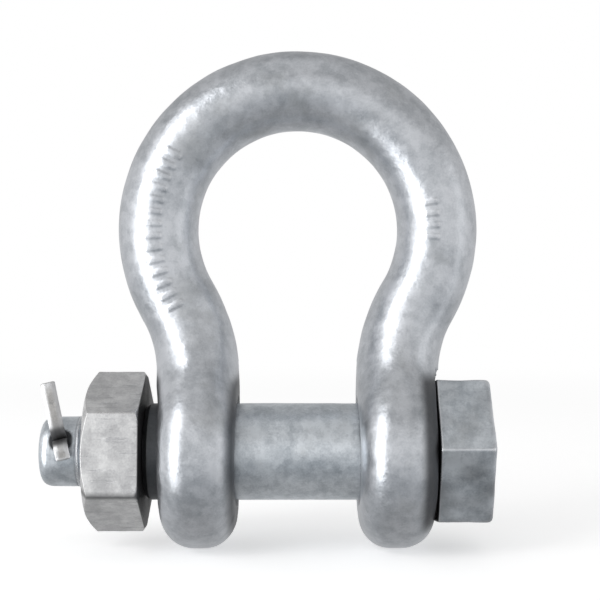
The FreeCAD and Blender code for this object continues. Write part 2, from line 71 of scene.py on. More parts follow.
# bow
LEG_X = 16.8
LEG_TOP = 13.0
CROWN_Z = 37.4
CROWN_R = 23.5
RISE = CROWN_Z - LEG_TOP
BEND_R = (LEG_X**2 + RISE**2 - CROWN_R**2) / (2 * (CROWN_R - LEG_X))
BEND_X = LEG_X + BEND_R
TANGENT = math.atan2(RISE, BEND_X)
BAR_R = 6.75
EAR_R = bow_high[1]
EAR_X = 16.45
EAR_HALF = 6.25
EAR_ROUND = 5.2
EYE_R = 8.75
SEAT_R = 13.8
NECK_Z = (6.0, 12.5, 18.5, 25.5)
NECK_HALF_WIDTHS = (13.6, 10.3, 7.9, 6.7)
NECK_HALF_DEPTHS = (5.9, 6.85, 6.8, 6.45)
NECK_BLEND = 0.5
EAR_BLEND = 2.2
EDGE_BLEND = 0.2
SKIN = 0.01
VOXEL = 0.42
FORGING_CREASE = 34  # degrees: a sharper edge than this is shaded as an edge

# hexagons and thread
APOTHEM = 11.7
HEAD_X = 22.8
HEAD_CORNER = math.radians(172)
NUT_CORNER = math.radians(26)
OUTER_CIRCLE = 11.6
INNER_CIRCLE = 12.7
SHOULDER_X = -25.5
THREAD_R = 6.0
THREAD_DEPTH = 1.07
PITCH = 1.75
THREAD_STEP = 0.11
TIP_R = 5.88
HOLE_R = 1.6

# cotter pin: where its hole crosses the bolt's axis, and its own axes, U towards the legs
PIN_X = -39.1
HOLE_TURN, PIN_ROLL = math.radians(25), math.radians(15)
ALONG_BOLT = np.array([1, 0, 0])
ACROSS_HOLE = np.array([0, math.sin(HOLE_TURN), math.cos(HOLE_TURN)])
PIN_U = np.array([0, -math.cos(HOLE_TURN), math.sin(HOLE_TURN)])
PIN_V = math.cos(PIN_ROLL) * ACROSS_HOLE - math.sin(PIN_ROLL) * ALONG_BOLT
PIN_W = math.cos(PIN_ROLL) * ALONG_BOLT + math.sin(PIN_ROLL) * ACROSS_HOLE


# ---------------------------------------------------------------- mesh helpers


def new_piece(name, points, faces, smooth_angle=32):
    """A smooth-shaded mesh object from points in millimetres."""
    mesh = bpy.data.meshes.new(name)
    mesh.from_pydata((np.asarray(points) * MM).tolist(), [], faces)
    mesh.validate()
    obj = bpy.data.objects.new(name, mesh)
    bpy.context.scene.collection.objects.link(obj)
    shade(obj, smooth_angle)
    return obj


def shade(obj, smooth_angle):
    obj.data.polygons.foreach_set("use_smooth", [True] * len(obj.data.polygons))
    obj.data.set_sharp_from_angle(angle=math.radians(smooth_angle))


def read_points(mesh):
    flat = np.empty(len(mesh.vertices) * 3)
    mesh.vertices.foreach_get("co", flat)
    return flat.reshape(-1, 3)


def write_points(mesh, points):
    mesh.vertices.foreach_set("co", np.asarray(points, np.float32).ravel())
    mesh.update()


def skin(rows, closed):
    """Faces over rows of points, each row a loop. Open ends are closed with a fan."""
    count = len(rows[0])
    points = list(np.concatenate(rows))
    faces = []
    last = len(rows) if closed else len(rows) - 1
    for i in range(last):
        a, b = i * count, ((i + 1) % len(rows)) * count
        for j in range(count):
            k = (j + 1) % count
            faces.append((a + j, a + k, b + k, b + j))
    if not closed:
        for first, turned in ((0, True), ((len(rows) - 1) * count, False)):
            middle = len(points)
            points.append(np.mean(points[first:first + count], axis=0))
            for j in range(count):
                k = (j + 1) % count
                if turned:
                    faces.append((first + k, first + j, middle))
                else:
                    faces.append((first + j, first + k, middle))
    return np.array(points), faces


def around_x(x, radius, angles):
    """Points at a radius about the X axis; angles run from +Y towards +Z."""
    x = np.broadcast_to(x, angles.shape)
    return np.stack([x, radius * np.cos(angles), radius * np.sin(angles)], axis=1)


def lathe(profile, steps, centre=(0, 0, 0)):
    """A closed solid of revolution about an X axis through centre, from (x, radius) pairs."""
    angles = np.arange(steps) * TAU / steps
    rows = [around_x(x, radius, angles) + np.array(centre) for x, radius in profile]
    return skin(rows, closed=False)


def join(parts):
    """One mesh's points and faces from several."""
    points, faces, base = [], [], 0
    for part_points, part_faces in parts:
        points.append(part_points)
        faces += [tuple(base + i for i in face) for face in part_faces]
        base += len(part_points)
    return np.concatenate(points), faces


def applied(obj, kind, **settings):
    """The object's mesh after one modifier, which replaces its mesh."""
    modifier = obj.modifiers.new(kind.title(), kind)
    for key, value in settings.items():
        setattr(modifier, key, value)
    depsgraph = bpy.context.evaluated_depsgraph_get()
    mesh = bpy.data.meshes.new_from_object(obj.evaluated_get(depsgraph))
    obj.modifiers.clear()
    old = obj.data
    obj.data = mesh
    bpy.data.meshes.remove(old)
    return obj


def cut(obj, points, faces):
    """Takes a closed shape out of an object."""
    tool = new_piece("cutter", points, faces)
    applied(obj, "BOOLEAN", object=tool, operation="DIFFERENCE", solver="EXACT")
    mesh = tool.data
    bpy.data.objects.remove(tool)
    bpy.data.meshes.remove(mesh)


def smoothstep(low, high, value):
    t = np.clip((value - low) / (high - low), 0, 1)
    return t * t * (3 - 2 * t)


def smooth_min(a, b, blend):
    h = np.clip(0.5 + 0.5 * (b - a) / blend, 0, 1)
    return b * (1 - h) + a * h - blend * h * (1 - h)


def lumps(points, size, seed, waves=14):
    """Smooth noise from about -1 to 1, with features this many millimetres across."""
    rng = np.random.default_rng(seed)
    ways = rng.normal(size=(waves, 3))
    ways /= np.linalg.norm(ways, axis=1)[:, None]
    ways *= (TAU / size) * rng.uniform(0.5, 1.5, waves)[:, None]
    phases = rng.uniform(0, TAU, waves)
    total = np.zeros(len(points))
    for way, phase in zip(ways, phases):
        total += np.sin(points @ way + phase)
    return np.clip(total / math.sqrt(2 * waves), -1, 1)


def mark_curvature(obj):
    """Stores how convex the surface is at each vertex, in 1/mm, for edge wear and painted crease
    shade.
    """
    mesh = obj.data
    points = read_points(mesh) / MM
    ends = np.empty(len(mesh.edges) * 2, np.int64)
    mesh.edges.foreach_get("vertices", ends)
    ends = ends.reshape(-1, 2)
    normals = np.empty(len(points) * 3)
    mesh.vertex_normals.foreach_get("vector", normals)
    normals = normals.reshape(-1, 3)
    gap = points[ends[:, 1]] - points[ends[:, 0]]
    length = np.maximum((gap * gap).sum(1), 1e-8)
    total = np.zeros(len(points))
    count = np.zeros(len(points))
    np.add.at(total, ends[:, 0], -2 * (gap * normals[ends[:, 0]]).sum(1) / length)
    np.add.at(total, ends[:, 1], 2 * (gap * normals[ends[:, 1]]).sum(1) / length)
    np.add.at(count, ends.ravel(), 1)
    value = np.clip(total / np.maximum(count, 1), -6, 6)
    for _ in range(2):
        spread = value.copy()
        np.add.at(spread, ends[:, 0], value[ends[:, 1]])
        np.add.at(spread, ends[:, 1], value[ends[:, 0]])
        value = spread / (count + 1)
    store(mesh, "curvature", value)


def store(mesh, name, values):
    layer = mesh.attributes.new(name, "FLOAT", "POINT")
    layer.data.foreach_set("value", np.asarray(values, np.float32))


# ---------------------------------------------------------------- bow


def along_bow(points):
    """Offset outward from the bow's centreline in its plane, and the length along it."""
    x, z = np.abs(points[:, 0]), points[:, 2]
    angle = np.arctan2(z - CROWN_Z, x)
    on_crown = angle > -TANGENT
    on_bend = ~on_crown & (z > LEG_TOP)
    bend_angle = np.arctan2(z - LEG_TOP, BEND_X - x)
    offset = x - LEG_X
    offset = np.where(on_bend, BEND_R - np.hypot(BEND_X - x, z - LEG_TOP), offset)
    offset = np.where(on_crown, np.hypot(x, z - CROWN_Z) - CROWN_R, offset)
    bend_top = LEG_TOP + BEND_R * TANGENT
    length = np.where(on_bend, LEG_TOP + BEND_R * bend_angle, z)
    length = np.where(on_crown, bend_top + CROWN_R * (angle + TANGENT), length)
    return offset, length


NECK_WIDTH = np.polyfit(NECK_Z, NECK_HALF_WIDTHS, 3)
NECK_DEPTH = np.polyfit(NECK_Z, NECK_HALF_DEPTHS, 3)


def bow_field(points):
    """Distance outside the bow's forged surface, before its bores are cut."""
    offset, _ = along_bow(points)
    x, y, z = points.T
    limb = np.hypot(offset, y) - BAR_R + np.clip(LEG_TOP - z, 0, 60) * 0.5

    height = np.clip(z, NECK_Z[0], NECK_Z[-1])
    half_width, half_depth = np.polyval(NECK_WIDTH, height), np.polyval(NECK_DEPTH, height)
    lean = (LEG_X - EAR_X) * (1 - smoothstep(NECK_Z[0], NECK_Z[1], z))
    ring = np.hypot((offset + lean) / half_depth, y / half_width)
    slope = np.hypot((offset + lean) / half_depth**2, y / half_width**2)
    neck = (ring - 1) * ring / np.maximum(slope, 1e-6)
    neck += 2.5 * np.clip((z - 22) / 5, 0, 4) ** 2 + np.clip(-z, 0, 40)
    limb = smooth_min(limb, neck, NECK_BLEND)

    radius = np.hypot(y, z)
    across = np.abs(np.abs(x) - EAR_X) - (EAR_HALF - EAR_ROUND)
    out = radius - (EAR_R - EAR_ROUND)
    ear = np.hypot(np.maximum(across, 0), np.maximum(out, 0)) - EAR_ROUND
    ear += np.minimum(np.maximum(across, out), 0)

    whole = smooth_min(limb, ear, EAR_BLEND)
    jaw_side = (LEG_X - NECK_HALF_DEPTHS[1]) - np.abs(x) - 40 * smoothstep(15, 22, z)
    whole = -smooth_min(-whole, -jaw_side, EDGE_BLEND)
    seat = np.maximum(radius - SEAT_R, EAR_X + EAR_HALF - x)
    whole = -smooth_min(-whole, seat, EDGE_BLEND)
    rough = 0.04 * (1 + lumps(points, 9, 11)) + 0.015 * (1 + lumps(points, 3.4, 12))
    return whole + SKIN + rough


def snapped(points, field, rounds=6):
    """The points moved along the field's slope onto its zero surface."""
    step = 0.02
    for _ in range(rounds):
        slope = np.empty_like(points)
        for axis in range(3):
            move = np.zeros(3)
            move[axis] = step
            slope[:, axis] = (field(points + move) - field(points - move)) / (2 * step)
        size = np.maximum((slope * slope).sum(1), 0.2)
        points = points - np.clip(field(points) / size, -0.5, 0.5)[:, None] * slope
    return points, slope / np.sqrt(size)[:, None]


def rough_bow():
    """Tube, ears and necks that overlap, near the bow's surface."""
    ring = np.arange(40) * TAU / 40
    rows = []
    heights = np.arange(8, LEG_TOP, 1.0)
    line = [(-LEG_X, z, 0.0) for z in heights]
    for turn in np.linspace(0, TANGENT, 12):
        line.append((-BEND_X + BEND_R * math.cos(turn), LEG_TOP + BEND_R * math.sin(turn), turn))
    for turn in np.linspace(math.pi + TANGENT, -TANGENT, 100)[1:-1]:
        x, z = CROWN_R * math.cos(turn), CROWN_Z + CROWN_R * math.sin(turn)
        line.append((x, z, turn - math.pi))
    line += [(-x, z, -math.pi - turn) for x, z, turn in reversed(line[:len(heights) + 12])]
    for x, z, turn in line:
        side = BAR_R * np.cos(ring)
        rows.append(np.stack([x + side * math.cos(turn), BAR_R * np.sin(ring),
                              z + side * math.sin(turn)], axis=1))
    parts = [skin(rows, closed=False)]
    flat = EAR_HALF - EAR_ROUND
    profile = [(-EAR_HALF, 2.0)]
    for turn in np.linspace(0, math.pi / 2, 9):
        profile.append((-flat - EAR_ROUND * math.cos(turn),
                        EAR_R - EAR_ROUND * (1 - math.sin(turn))))
    profile += [(-x, radius) for x, radius in reversed(profile)]
    for side in (-1, 1):
        parts.append(lathe(profile, 80, (side * EAR_X, 0, 0)))
        rows = []
        for z in np.linspace(4, 25, 22):
            x = BEND_X - math.sqrt(BEND_R**2 - max(z - LEG_TOP, 0) ** 2)
            half_width, half_depth = np.polyval(NECK_WIDTH, max(z, NECK_Z[0])), BAR_R - 1.0
            rows.append(np.stack([side * x + half_depth * np.cos(ring),
                                  half_width * np.sin(ring), np.full(40, z)], axis=1))
        parts.append(skin(rows, closed=False))
    return join(parts)


# plain raised ribs, all alike on each limb: length along the bow, offset outward, half width
MARK_PITCH = 2.0
LEFT_MARKS = [(51.4 - MARK_PITCH * k, 0.3, 1.6) for k in range(14)]
RIGHT_MARKS = [(43.2 - MARK_PITCH * k, -1.3, 1.3) for k in range(4)]
SIDED_MARKS = ((-1, LEFT_MARKS), (1, RIGHT_MARKS))
MARK_HALF = 0.50
MARK_HEIGHT = 0.11
MARK_ROUND = 0.40
MARK_MARGIN = 0.8


def bar_position(points):
    """Length along the bow, and the way round the bar from its front, outward positive, in mm."""
    offset, length = along_bow(points)
    return length, BAR_R * np.arctan2(offset, -points[:, 1])


def near_marks(points):
    """Which points are on a raised mark or close to one."""
    length, across = bar_position(points)
    near = np.zeros(len(points), bool)
    for side, marks in SIDED_MARKS:
        for at, out, half_width in marks:
            here = np.abs(length - at) < MARK_HALF + MARK_MARGIN
            here &= np.abs(across - out) < half_width + MARK_MARGIN
            near |= here & (points[:, 0] * side > 0)
    return near & (points[:, 1] < 0)


def mark_relief(points):
    """Height of the raised marks above the bar."""
    length, across = bar_position(points)
    height = np.zeros(len(points))
    for side, marks in SIDED_MARKS:
        for at, out, half_width in marks:
            dx = np.abs(across - out) - (half_width - MARK_ROUND)
            dy = np.abs(length - at) - (MARK_HALF - MARK_ROUND)
            gap = np.hypot(np.maximum(dx, 0), np.maximum(dy, 0)) - MARK_ROUND
            gap += np.minimum(np.maximum(dx, dy), 0)
            raised = smoothstep(0.30, -0.34, gap) * (points[:, 0] * side > 0)
            height = np.maximum(height, raised)
    return MARK_HEIGHT * height * (points[:, 1] < 0)


def refine(mesh, chosen, cuts):
    """Splits the chosen faces more finely."""
    work = bmesh.new()
    work.from_mesh(mesh)
    work.faces.ensure_lookup_table()
    edges = {edge for index in np.flatnonzero(chosen) for edge in work.faces[index].edges}
    edges = sorted(edges, key=lambda edge: edge.index)
    bmesh.ops.subdivide_edges(work, edges=edges, cuts=cuts, use_grid_fill=True)
    large = [face for face in work.faces if len(face.verts) > 4]
    bmesh.ops.triangulate(work, faces=large)
    work.to_mesh(mesh)
    work.free()


def make_bow():
    """The forging. Its mesh stays in millimetres until the raised marks are on it."""
    points, faces = rough_bow()
    obj = new_piece("bow_forging", points / MM, faces)
    applied(obj, "REMESH", mode="VOXEL", voxel_size=VOXEL)
    mesh = obj.data
    write_points(mesh, snapped(read_points(mesh), bow_field)[0])
    centres = np.empty(len(mesh.polygons) * 3)
    mesh.polygons.foreach_get("center", centres)
    refine(mesh, near_marks(centres.reshape(-1, 3)), 3)
    points, normals = snapped(read_points(mesh), bow_field, 3)
    points = points + mark_relief(points)[:, None] * normals
    write_points(mesh, points * MM)
    for side in (-1, 1):
        outer, inner = side * (EAR_X + EAR_HALF), side * (EAR_X - EAR_HALF)
        profile = [
            (outer + side * 3, EYE_R + 3.3), (outer, EYE_R + 0.3), (outer - side * 0.3, EYE_R),
            (inner + side * 0.6, EYE_R), (inner - side * 2, EYE_R + 2.6),
        ]
        if side > 0:
            profile.reverse()
        cut(obj, *lathe(profile, 180))
    shade(obj, FORGING_CREASE)
    return obj


# ---------------------------------------------------------------- bolt and nut


def hex_columns(corner_angle, corner_round, flat_steps=18):
    """Angles round a hexagon with rounded corners, and its radius at each."""
    reach = (APOTHEM - corner_round) / math.cos(math.pi / 6)
    turn = math.atan2(corner_round / 2, reach + corner_round * math.cos(math.pi / 6))
    steps = np.concatenate([
        np.linspace(-turn, turn, 8),
        np.linspace(turn, math.pi / 3 - turn, flat_steps + 2)[1:-1],
    ])
    angles = np.concatenate([corner_angle + k * math.pi / 3 + steps for k in range(6)])
    local = np.tile(steps, 6)
    from_corner = np.where(local > math.pi / 6, math.pi / 3 - local, np.abs(local))
    flat = APOTHEM / np.cos(math.pi / 6 - from_corner)
    inside = np.maximum(corner_round**2 - (reach * np.sin(from_corner)) ** 2, 0)
    arc = reach * np.cos(from_corner) + np.sqrt(inside)
    return angles, np.where(from_corner <= turn + 1e-9, arc, flat)


def rounded(corners, radii, steps=5):
    """A profile of (x, radius) arrays with its inner corners rounded."""
    rows = [corners[0]]
    for before, corner, after, radius in zip(corners, corners[1:], corners[2:], radii):
        back, ahead = before - corner, after - corner
        back_length = np.linalg.norm(back, axis=1, keepdims=True)
        ahead_length = np.linalg.norm(ahead, axis=1, keepdims=True)
        back, ahead = back / back_length, ahead / ahead_length
        half = 0.5 * np.arccos(np.clip((back * ahead).sum(1, keepdims=True), -1, 0.999))
        reach = np.minimum(radius / np.tan(half), 0.45 * np.minimum(back_length, ahead_length))
        for t in np.linspace(0, 1, steps):
            first, last = corner + reach * back, corner + reach * ahead
            rows.append((1 - t) ** 2 * first + 2 * t * (1 - t) * corner + t * t * last)
    rows.append(corners[-1])
    return rows


def filled(rows, spacing, edge=0.12):
    """More rows between those that are far apart, with one close to each end."""
    result = [rows[0]]
    for start, end in zip(rows, rows[1:]):
        length = np.linalg.norm(end - start, axis=1).max()
        if length > 4 * edge:
            count = max(1, round(length / spacing))
            stops = np.linspace(0, 1, count + 1)[1:-1]
            for t in np.concatenate([[edge / length], stops, [1 - edge / length]]):
                result.append(start + t * (end - start))
        result.append(end)
    return result


def pair(x, radius, count):
    """One corner of a profile, the same or its own for each column."""
    return np.stack([np.broadcast_to(x, count), np.broadcast_to(radius, count)], axis=1)


def thread_depth(x, angles):
    """How far the right-hand thread's groove is cut at a place, from 0 to 1."""
    phase = (x / PITCH - angles / TAU) % 1
    return smoothstep(0.08, 0.92, np.abs(2 * phase - 1)) * 0.5 + np.clip(
        (np.abs(2 * phase - 1) - 0.125) / 0.75, 0, 1) * 0.5


def make_bolt():
    """Head, shank and threaded end in one surface, with the cotter pin's hole cut through it."""
    angles, hexagon = hex_columns(HEAD_CORNER, 0.7)
    count = len(angles)
    head_end, tip = bolt_high[0], bolt_low[0]
    corners = [
        pair(head_end - 0.02, 0.3, count), pair(head_end - 0.10, hexagon, count),
        pair(HEAD_X, hexagon, count), pair(HEAD_X, SHANK_R, count),
        pair(SHOULDER_X + 0.8, SHANK_R, count), pair(SHOULDER_X, SHANK_R - 0.8, count),
        pair(SHOULDER_X, THREAD_R - 0.02, count), pair(tip + 9.0, THREAD_R - 0.02, count),
    ]
    rows = filled(rounded(corners, [1.05, 0.45, 0.35, 0.3, 0.25, 0.3], 6), 0.6)
    thread_end = tip + 6.4
    for x in np.arange(rows[-1][0, 0] - THREAD_STEP, thread_end, -THREAD_STEP):
        rows.append(pair(x, THREAD_R - 0.02, count))
    end = rounded([
        pair(thread_end, TIP_R, count), pair(tip + 0.05, TIP_R - 0.05, count),
        pair(tip, 0.3, count),
    ], [2.1], 9)
    rows += filled(end, 0.45)

    points_rows = []
    for row in rows:
        x, radius = row[:, 0], row[:, 1].copy()
        depth = smoothstep(SHOULDER_X - 0.2, SHOULDER_X - 1.2, x)
        depth *= smoothstep(thread_end, thread_end + 1.6, x)
        radius -= THREAD_DEPTH * depth * thread_depth(x, angles) * (x < SHOULDER_X - 0.01)
        points_rows.append(around_x(x, radius, angles))
    points, faces = skin(points_rows, closed=False)
    points = forged(points)
    obj = new_piece("bolt_forging", points, faces)

    across = np.array([-8.0, -6.2, -5.35, 5.35, 6.2, 8.0])
    radii = [HOLE_R + 1.8, HOLE_R + 0.5, HOLE_R, HOLE_R, HOLE_R + 0.5, HOLE_R + 1.8]
    ring = np.arange(48) * TAU / 48
    centre = np.array([PIN_X, 0, 0])
    circle = np.outer(np.cos(ring), PIN_V) + np.outer(np.sin(ring), PIN_W)
    hole = [centre + u * PIN_U + radius * circle for u, radius in zip(across, radii)]
    cut(obj, *skin(hole, closed=False))
    shade(obj, FORGING_CREASE)
    return obj


def forged(points):
    """The bolt's head and shank with the slight unevenness of a forging, always inward."""
    radius = np.hypot(points[:, 1], points[:, 2])
    head = smoothstep(HEAD_X, HEAD_X + 1, points[:, 0])
    shank = (points[:, 0] > SHOULDER_X + 0.5) * (1 - head)
    rough = head * (0.10 * (1 + lumps(points, 7, 21)) + 0.03 * (1 + lumps(points, 2.6, 22)))
    rough += shank * (0.03 * (1 + lumps(points, 8, 23)) + 0.012 * (1 + lumps(points, 2.8, 24)))
    scale = 1 - rough / np.maximum(radius, 2)
    points = points.copy()
    points[:, 1:] *= scale[:, None]
    face = smoothstep(bolt_high[0] - 1.2, bolt_high[0] - 0.2, points[:, 0])
    points[:, 0] -= face * 0.05 * (1 + lumps(points, 5, 25))
    return points


def make_nut():
    """A hexagon with chamfered ends and a threaded bore, as one closed ring of rows."""
    angles, hexagon = hex_columns(NUT_CORNER, 0.35)
    count = len(angles)
    outer, inner = nut_low[0], nut_high[0]
    slope = math.tan(math.pi / 6)
    bore = THREAD_R + 0.08
    corners = [
        pair(outer, 8.6, count), pair(outer, OUTER_CIRCLE, count),
        pair(outer + (hexagon - OUTER_CIRCLE) * slope + 0.05, hexagon, count),
        pair(inner - np.maximum(hexagon - INNER_CIRCLE, 0) * slope - 0.05, hexagon, count),
        pair(inner, np.minimum(hexagon, INNER_CIRCLE) - 0.05, count),
        pair(inner, bore + 0.5, count), pair(inner - 0.5, bore, count),
    ]
    rows = filled(rounded(corners, [0.30, 0.14, 0.25, 0.2, 0.15], 5), 0.7)
    for x in np.arange(inner - 0.61, outer + 0.55, -THREAD_STEP):
        rows.append(pair(x, bore, count))
    back = [pair(outer + 0.5, bore, count), pair(outer, bore + 0.5, count), pair(outer, 8.6, count)]
    rows += filled(rounded(back, [0.15], 4), 0.7)[:-1]

    points_rows = []
    for row in rows:
        x, radius = row[:, 0], row[:, 1].copy()
        inside = smoothstep(bore + 0.3, bore + 0.05, radius)
        inside *= smoothstep(outer + 0.1, outer + 0.9, x) * smoothstep(inner - 0.1, inner - 0.9, x)
        radius -= THREAD_DEPTH * inside * thread_depth(x, angles)
        points_rows.append(around_x(x, radius, angles))
    points, faces = skin(points_rows, closed=True)
    out = smoothstep(9, 11, np.hypot(points[:, 1], points[:, 2]))
    rough = out * (0.02 * (1 + lumps(points, 5, 31)) + 0.01 * (1 + lumps(points, 2, 32)))
    points[:, 1:] *= (1 - rough / 11)[:, None]
    return new_piece("nut_blank", points, faces, FORGING_CREASE)


# ---------------------------------------------------------------- cotter pin

EYE_INNER = 1.3
EYE_NECK = 1.9
NECK_START = -6.4
LEG_GAP = 0.04
BEND_START = 6.1
PIN_BEND = 2.0
LONG_LEG = (84.0, 7.4)
SHORT_LEG = (112.0, 1.2)
WIRE_R = 1.21


def arc(centre, radius, start, end, steps):
    turns = np.radians(np.linspace(start, end, steps))
    return [(centre[0] + radius * math.cos(t), centre[1] + radius * math.sin(t)) for t in turns]


def leg_path(bend, length):
    """The flat side of the upper leg's wire, from the eye's far end to the leg's tip.

    bend is the angle in degrees that the leg is bent up by, and length is its straight end.
    """
    eye_x = NECK_START - math.sqrt((EYE_INNER + EYE_NECK) ** 2 - (EYE_NECK + LEG_GAP) ** 2)
    meet = math.degrees(math.atan2(EYE_NECK + LEG_GAP, NECK_START - eye_x))
    path = arc((eye_x, 0), EYE_INNER, 180, meet, 18)
    path += arc((NECK_START, LEG_GAP + EYE_NECK), EYE_NECK, 180 + meet, 270, 9)[1:]
    path += [(u, LEG_GAP) for u in np.linspace(NECK_START, BEND_START, 14)[1:]]
    path += arc((BEND_START, LEG_GAP + PIN_BEND), PIN_BEND, 270, 270 + bend, 14)[1:]
    end = np.array(path[-1])
    way = np.array([math.cos(math.radians(bend)), math.sin(math.radians(bend))])
    path += [tuple(end + way * run) for run in np.linspace(0, length, 9)[1:]]
    return path


def make_cotter_pin():
    """Half-round wire, flat side inward, folded at an eye behind the bolt."""
    lower = [(u, -v) for u, v in leg_path(*SHORT_LEG)]
    path = np.array(lower[::-1] + leg_path(*LONG_LEG)[1:])
    ways = np.gradient(path, axis=0)
    ways /= np.linalg.norm(ways, axis=1)[:, None]
    backs = np.stack([-ways[:, 1], ways[:, 0]], axis=1)

    turns = np.radians(np.linspace(-80, 80, 13))
    section = [(WIRE_R * math.cos(t), WIRE_R * math.sin(t)) for t in turns]
    section += [(0.07, 1.17), (0.0, 1.05), (0.0, 0.35), (0.0, -0.35), (0.0, -1.05), (0.07, -1.17)]
    section = np.array(section)
    middle = np.array([0.5, 0.0])
    rows = [section_row(point, back, section) for point, back in zip(path, backs)]
    # the tips: sheared off, and slightly rounded
    for end, sign in ((0, -1), (-1, 1)):
        tip_rows = []
        for shrink, ahead in ((0.94, 0.09), (0.80, 0.17), (0.45, 0.22)):
            small = middle + (section - middle) * shrink
            moved = path[end] + sign * ways[end] * ahead
            tip_rows.append(section_row(moved, backs[end], small))
        if end == 0:
            rows = tip_rows[::-1] + rows
        else:
            rows += tip_rows
    points, faces = skin(rows, closed=False)
    points = points + 0.015 * lumps(points, 4, 41)[:, None]
    return new_piece("cotter_wire", points, [face[::-1] for face in faces], 50)


def section_row(point, back, section):
    """The wire's section set on its path: first coordinate along back, second along PIN_W."""
    flat = np.array(point) + section[:, :1] * np.array(back)
    centre = np.array([PIN_X, 0, 0])
    return centre + flat[:, :1] * PIN_U + flat[:, 1:] * PIN_V + section[:, 1:] * PIN_W


# ---------------------------------------------------------------- painted shade in the gaps


def bow_painted_shade(points):
    """Painted shade in the bores and on the ears' outer faces round them, a near-black painted
    shadow on the right ear beside the bolt's head, and painted shade on the ears' jaw sides, most
    on the left.
    """
    radius = np.hypot(points[:, 1], points[:, 2])
    outside = smoothstep(EAR_X + EAR_HALF - 0.5, EAR_X + EAR_HALF - 0.1, np.abs(points[:, 0]))
    low = smoothstep(14.5, 11.5, points[:, 2]) * smoothstep(15.5, 12.5, radius)
    bore = smoothstep(EYE_R + 0.25, EYE_R + 0.05, radius)
    # painted shadow of the bolt's head on the right ear's outer margin
    by_head = 0.85 * smoothstep(19.0, 20.9, points[:, 0]) * smoothstep(14.5, 12, points[:, 2])
    by_head *= smoothstep(-13.5, -10, points[:, 2])
    # painted shade on the jaw side of the ears, heavier on the left ear
    jaw = smoothstep(12.8, 11.0, np.abs(points[:, 0])) * np.where(points[:, 0] < 0, 0.8, 0.15)
    return np.maximum(low * np.maximum.reduce([0.8 * bore, 0.7 * outside, jaw]), by_head)


def bolt_painted_shade(points):
    """Painted shade under the head, on the shank in both gaps and in the cotter hole; on the head,
    a mottled darkening that is stronger towards the bottom.
    """
    x, radius = points[:, 0], np.hypot(points[:, 1], points[:, 2])
    under = smoothstep(HEAD_X + 0.22, HEAD_X + 0.06, x) * smoothstep(HEAD_X - 2.2, HEAD_X - 0.8, x)
    shank = smoothstep(-21.2, -22.4, x) * smoothstep(SHOULDER_X - 1.2, SHOULDER_X - 0.4, x)
    from_hole = points - np.array([PIN_X, 0, 0])
    from_hole -= np.outer(from_hole @ PIN_U, PIN_U)
    hole = smoothstep(HOLE_R + 0.6, HOLE_R + 0.2, np.linalg.norm(from_hole, axis=1))
    below = 0.12 + 0.24 * smoothstep(3, -5, points[:, 2])
    head = below * smoothstep(HEAD_X, HEAD_X + 0.4, x) * (1 + 0.8 * lumps(points, 6, 26))
    return np.maximum.reduce([0.95 * under, 0.84 * shank, 0.94 * hole, head])


def nut_painted_shade(points):
    """Painted shade on the face towards the ear and in the thread, and a painted shade line along
    the front's lower edge.
    """
    inner = smoothstep(nut_high[0] - 0.22, nut_high[0] - 0.06, points[:, 0])
    radius = np.hypot(points[:, 1], points[:, 2])
    thread = smoothstep(THREAD_R + 0.6, THREAD_R + 0.2, radius)
    turn = (np.arctan2(points[:, 2], points[:, 1]) - NUT_CORNER) % TAU - math.pi
    # a painted shade line along the front's lower edge
    line = smoothstep(0.034, 0.014, np.abs(turn)) * (radius > APOTHEM)
    return np.maximum.reduce([0.86 * inner, 0.8 * thread, 0.6 * line])


def wire_painted_shade(points):
    """Painted shade where the wire goes through the bolt and where its legs leave it, on a slight
    darkening all along the wire.
    """
    placed = points - np.array([PIN_X, 0, 0])
    legs = smoothstep(2.3, 1.0, np.abs(placed @ PIN_V)) * smoothstep(2, 4, placed @ PIN_U)
    through = smoothstep(7.0, 6.0, np.abs(placed @ PIN_U))
    return 0.06 + 0.74 * np.maximum(through, legs)


# ---------------------------------------------------------------- materials


class Shader:
    """A material's node tree, with short ways to add and join nodes."""

    def __init__(self, name):
        self.material = bpy.data.materials.new(name)
        self.material.use_nodes = True
        self.tree = self.material.node_tree
        self.tree.nodes.clear()

    def add(self, kind, inputs=None, **settings):
        node = self.tree.nodes.new(kind)
        for key, value in settings.items():
            setattr(node, key, value)
        for key, value in (inputs or {}).items():
            if isinstance(value, bpy.types.NodeSocket):
                self.tree.links.new(value, node.inputs[key])
            else:
                node.inputs[key].default_value = value
        return node

    def math(self, operation, a, b=0.0):
        return self.add("ShaderNodeMath", {0: a, 1: b}, operation=operation).outputs[0]

    def span(self, value, low, high, to_low=0.0, to_high=1.0):
        """Value from low to high, smoothly turned into to_low to to_high."""
        inputs = {"Value": value, "From Min": low, "From Max": high,
                  "To Min": to_low, "To Max": to_high}
        return self.add("ShaderNodeMapRange", inputs, interpolation_type="SMOOTHSTEP").outputs[0]

    def mix(self, factor, a, b):
        return self.add("ShaderNodeMix", {0: factor, 6: a, 7: b}, data_type="RGBA").outputs[2]

    def noise(self, vector, scale, detail=3.0, roughness=0.55):
        inputs = {"Vector": vector, "Scale": scale, "Detail": detail, "Roughness": roughness}
        return self.add("ShaderNodeTexNoise", inputs)


